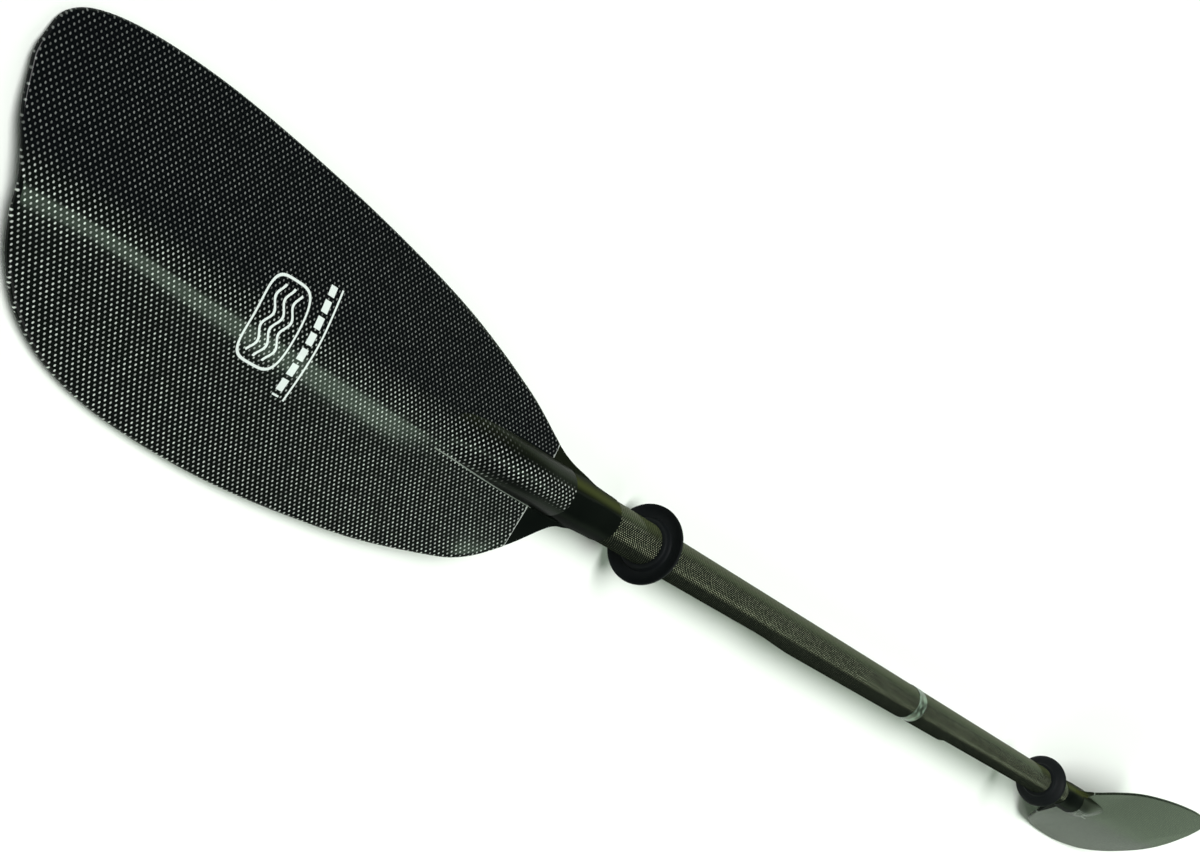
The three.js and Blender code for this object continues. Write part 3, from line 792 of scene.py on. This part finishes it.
def drip_ring(side):
    """A cupped rubber drip ring, turned from its half section of (x, height over the shaft) in mm."""
    bore = SHAFT_R + 0.1 * MM
    half = [(-9, 0), (-9, 2.0), (-8.6, 2.6), (-8, 3.0), (-6, 3.3), (-4.6, 3.6), (-3.8, 4.4), (-3.6, 6),
            (-4.4, 9), (-5.4, 11), (-6.0, 12.2), (-6.2, 12.8), (-5.9, 13.25), (-5.2, 13.3), (-4.2, 13.1),
            (-2.8, 12.4), (-1.0, 10.8), (0.4, 8.6), (1.4, 6.2), (2.2, 4.6), (3.2, 3.7), (5.8, 3.2),
            (6.6, 2.8), (7, 2.0), (7, 0)]
    tallest = max(r for x, r in half)
    scale = (RING_R - bore) / (tallest * MM)
    sign = 1 if side == "left" else -1
    centre = -RING_X if side == "left" else RING_X
    profile = [(centre + sign * x * MM, bore + r * MM * scale) for x, r in half]
    piece = turned(f"{side}_ring_rubber", profile, RUBBER)
    dress(piece, f"{side}_drip_ring", f"{side}_drip_ring")


for side in ("left", "right"):
    blade_skin(side, "face", MARKED_FACE if side == "left" else FAR_CARBON)
    blade_skin(side, "back", BLADE_CARBON if side == "left" else FAR_CARBON)
    blade_foam(side)
    spine_piece(side)
    seam_bead(side)
    throat_piece(side)
    drip_ring(side)
shaft_tube("left_shaft_tube", "left_shaft", "left_half", *LEFT_SHAFT)
shaft_tube("right_shaft_tube", "right_shaft", "right_half", *RIGHT_SHAFT)
oval_index()

CARRIED = {
    "left_shaft_plug": FOAM, "right_shaft_plug": FOAM,
    "left_bulkhead": FOAM, "right_bulkhead": FOAM, "spigot": DARK_PLASTIC, "spigot_cap": DARK_PLASTIC,
    "ferrule_liner": DARK_PLASTIC, "button_spring": STEEL, "snap_button": STEEL,
    "index_collar": COLLAR_PLASTIC,
}
for node, material in CARRIED.items():
    for slot in frame["nodes"][node].material_slots:
        slot.material = material

# ---- floor, lights and camera ----------------------------------------------------------------


def mesh_points():
    """Every mesh vertex of the model as it stands, in one array."""
    bpy.context.view_layer.update()
    clouds = []
    for piece in bpy.context.scene.objects:
        if piece.type != "MESH":
            continue
        points = np.zeros(3 * len(piece.data.vertices))
        piece.data.vertices.foreach_get("co", points)
        turn = np.array(piece.matrix_world)
        clouds.append(points.reshape(-1, 3) @ turn[:3, :3].T + turn[:3, 3])
    return np.vstack(clouds)


def floor_plane():
    """The floor's lean about Y and its height, where both blades just rest on it."""
    points = mesh_points()
    near, far = points[points[:, 0] < 0], points[points[:, 0] > 0]

    def lowest(cloud, lean):
        return (cloud[:, 2] * math.cos(lean) + cloud[:, 0] * math.sin(lean)).min()

    low, high = 0.0, math.radians(5)
    for _ in range(30):
        lean = (low + high) / 2
        if lowest(near, lean) < lowest(far, lean):
            high = lean
        else:
            low = lean
    return lean, lowest(points, lean)


def floor():
    """A pale floor, leaning so that both blades rest on it."""
    lean, height = floor_plane()
    size = 16.0
    mesh = bpy.data.meshes.new("floor")
    corners = [(-size, -size, 0), (size, -size, 0), (size, size, 0), (-size, size, 0)]
    mesh.from_pydata(corners, [], [(0, 1, 2, 3)])
    plane = bpy.data.objects.new("floor", mesh)
    bpy.context.scene.collection.objects.link(plane)
    plane.matrix_world = Matrix.Rotation(lean, 4, "Y") @ Matrix.Translation((0, 0, height - 0.3 * MM))
    n = Nodes("floor_paint")
    broad = n.noise(n.place(), 1.5, detail=2.0)
    n.link(n.blend(broad, (0.85, 0.885, 0.84), (0.87, 0.905, 0.86)), n.shader.inputs["Base Color"])
    set_shader(n.shader, roughness=0.9, specular=0.05)
    mesh.materials.append(n.material)


def panel(name, azimuth, elevation, size, radiance, colour=(1, 1, 1), distance=4.0):
    """A soft panel of light, facing the left blade from a direction given in degrees."""
    aim = Vector((-0.75, 0, 0))
    a, e = math.radians(azimuth), math.radians(elevation)
    towards = Vector((math.cos(a) * math.cos(e), math.sin(a) * math.cos(e), math.sin(e)))
    light = bpy.data.lights.new(name, "AREA")
    light.shape = "RECTANGLE"
    light.size, light.size_y = size
    light.energy = radiance * math.pi * size[0] * size[1]
    light.color = colour
    lamp = bpy.data.objects.new(name, light)
    bpy.context.scene.collection.objects.link(lamp)
    lamp.location = aim + towards * distance
    lamp.rotation_euler = towards.to_track_quat("Z", "Y").to_euler()


def studio_world():
    """A world that is bright and greenish up to just above the horizon, and dark higher up."""
    world = bpy.data.worlds.new("studio")
    bpy.context.scene.world = world
    world.use_nodes = True
    tree = world.node_tree
    background = tree.nodes["Background"]
    background.inputs["Strength"].default_value = 1.0
    direction = tree.nodes.new("ShaderNodeTexCoord")
    split = tree.nodes.new("ShaderNodeSeparateXYZ")
    tree.links.new(direction.outputs["Generated"], split.inputs[0])
    rise = tree.nodes.new("ShaderNodeMapRange")
    rise.interpolation_type = "SMOOTHSTEP"
    tree.links.new(split.outputs["Z"], rise.inputs["Value"])
    rise.inputs["From Min"].default_value = 0.06
    rise.inputs["From Max"].default_value = 0.34
    sky = tree.nodes.new("ShaderNodeMix")
    sky.data_type = "RGBA"
    tree.links.new(rise.outputs["Result"], sky.inputs["Factor"])
    sky.inputs["A"].default_value = (1.15, 1.5, 1.05, 1.0)
    sky.inputs["B"].default_value = (0.035, 0.04, 0.045, 1.0)
    tree.links.new(sky.outputs["Result"], background.inputs["Color"])


def lights():
    light = bpy.data.lights.new("ceiling", "SUN")
    light.energy = 3.65
    light.angle = math.radians(35)
    lamp = bpy.data.objects.new("ceiling", light)
    bpy.context.scene.collection.objects.link(lamp)
    lamp.rotation_euler = Vector((-0.5, 0.25, 1.0)).to_track_quat("Z", "Y").to_euler()
    panel("ridge_strip", -9, 54, (0.36, 2.2), 6.0, (0.72, 1.0, 0.74))
    panel("lobe_fill", -62, 45, (2.2, 2.0), 1.4, (1.0, 1.0, 0.95))
    panel("shaft_streak", 25, 24, (0.25, 1.2), 2.0, (0.9, 1.0, 0.75))


def camera():
    """The camera above the left blade's end, looking along the shaft and rolled on its side."""
    aim = Vector((-0.615, 0.046, 0.0))
    azimuth, elevation, roll = math.radians(184.73), math.radians(33.91), math.radians(115.8)
    distance = 1.1587
    away = Vector((math.cos(azimuth) * math.cos(elevation), math.sin(azimuth) * math.cos(elevation),
                   math.sin(elevation)))
    data = bpy.data.cameras.new("camera")
    data.sensor_width = 36.0
    data.lens = 55.7
    data.shift_x = 0.002
    view = bpy.data.objects.new("camera", data)
    bpy.context.scene.collection.objects.link(view)
    turn = (-away).to_track_quat("-Z", "Y").to_matrix() @ Matrix.Rotation(roll, 3, "Z")
    view.matrix_world = Matrix.Translation(aim + away * distance) @ turn.to_4x4()
    bpy.context.scene.camera = view


bpy.context.scene.view_settings.view_transform = "Standard"
floor()
studio_world()
lights()
camera()
